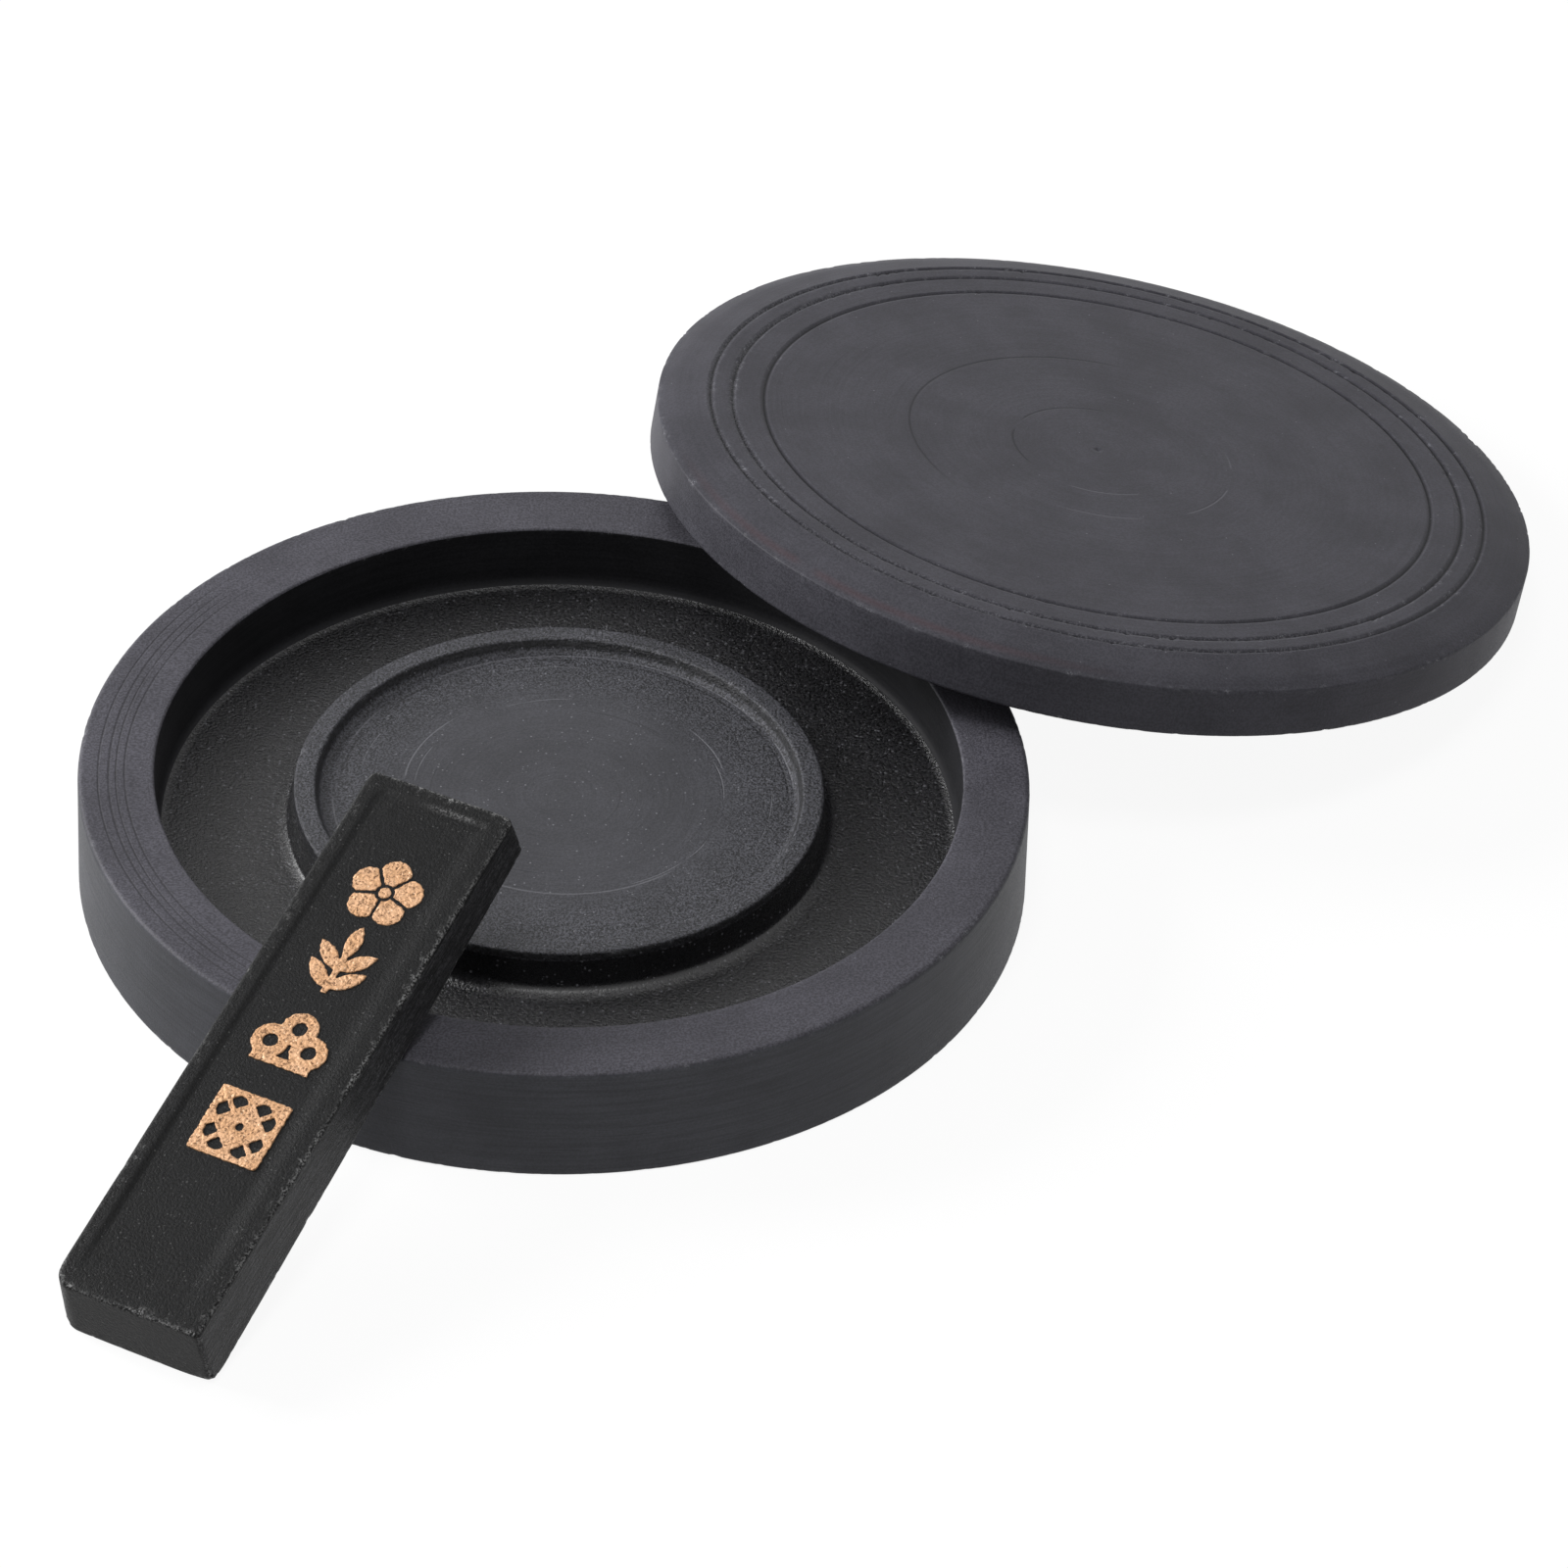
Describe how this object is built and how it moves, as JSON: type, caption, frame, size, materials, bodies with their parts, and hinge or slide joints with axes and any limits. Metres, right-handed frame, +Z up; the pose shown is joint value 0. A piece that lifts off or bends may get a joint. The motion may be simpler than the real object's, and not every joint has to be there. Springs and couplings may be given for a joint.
{
  "type": "ink stone and ink stick",
  "caption": "Round turned ink stone with a moat and a raised grinding disc, its lid leaning on the rim, and an ink stick with gold motifs laid across it.",
  "frame": {"origin": "centre of the ink dish's flat underside, on the table", "axes": "+Z up, out of the dish; -Y is the front, where the stick's foot lies; +X is to the right seen from the front"},
  "size_m": [0.2014, 0.2445, 0.0345],
  "materials": {
    "turned_stone": "matt turned dark grey stone",
    "ink_body": "satin near-black moulded ink",
    "gold_paint": "grainy gold powder paint"
  },
  "bodies": {
    "dish": {"ink_dish": "turned_stone"},
    "lid": {"dish_lid": "turned_stone"},
    "stick": {"ink_stick": "ink_body", "gold_blossom": "gold_paint", "gold_leaf_spray": "gold_paint", "gold_cloud": "gold_paint", "gold_square_plaque": "gold_paint"}
  },
  "joints": [
    {"name": "lid_lift", "type": "slide", "parent": "dish", "child": "lid", "axis": [0, 0, 1], "range_m": [0, 0.06]},
    {"name": "stick_lift", "type": "slide", "parent": "dish", "child": "stick", "axis": [0, 0, 1], "range_m": [0, 0.06]}
  ]
}
